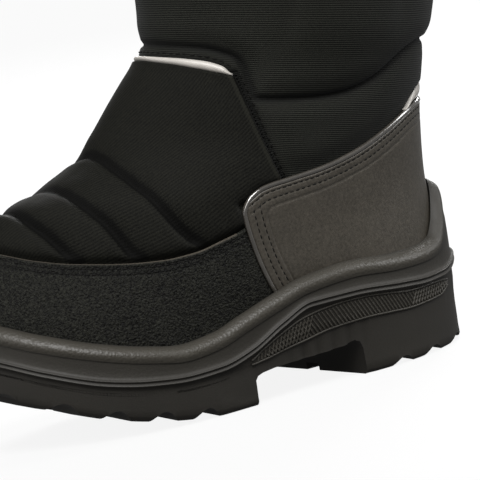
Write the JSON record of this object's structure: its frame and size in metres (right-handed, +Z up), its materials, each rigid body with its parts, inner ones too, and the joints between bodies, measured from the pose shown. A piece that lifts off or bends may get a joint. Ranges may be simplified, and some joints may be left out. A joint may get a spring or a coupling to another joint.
{
  "type": "snow boot",
  "caption": "Padded left winter boot with a moulded wavy sole, mudguard, heel counter and a tall open shaft.",
  "frame": {"origin": "on the floor, under the middle of the boot's box", "axes": "+Z up, +X to the heel, -X to the toe, +Y to the inner side of the foot, -Y to the outer side"},
  "size_m": [0.2428, 0.1042, 0.2438],
  "materials": {
    "outsole": "moulded polyurethane, lightly pebbled, satin",
    "insole": "felt footbed",
    "upper": "padded ribbed nylon",
    "mudguard": "matte pebbled guard",
    "heel_counter": "smooth satin",
    "counter_binding": "glossy rolled edge",
    "tape": "reflective woven tape"
  },
  "bodies": {
    "root": {"outsole": "outsole", "insole": "insole", "upper": "upper", "mudguard": "mudguard", "heel_counter": "heel_counter", "counter_binding": "counter_binding", "front_tape": "tape", "back_tape": "tape"}
  },
  "joints": []
}
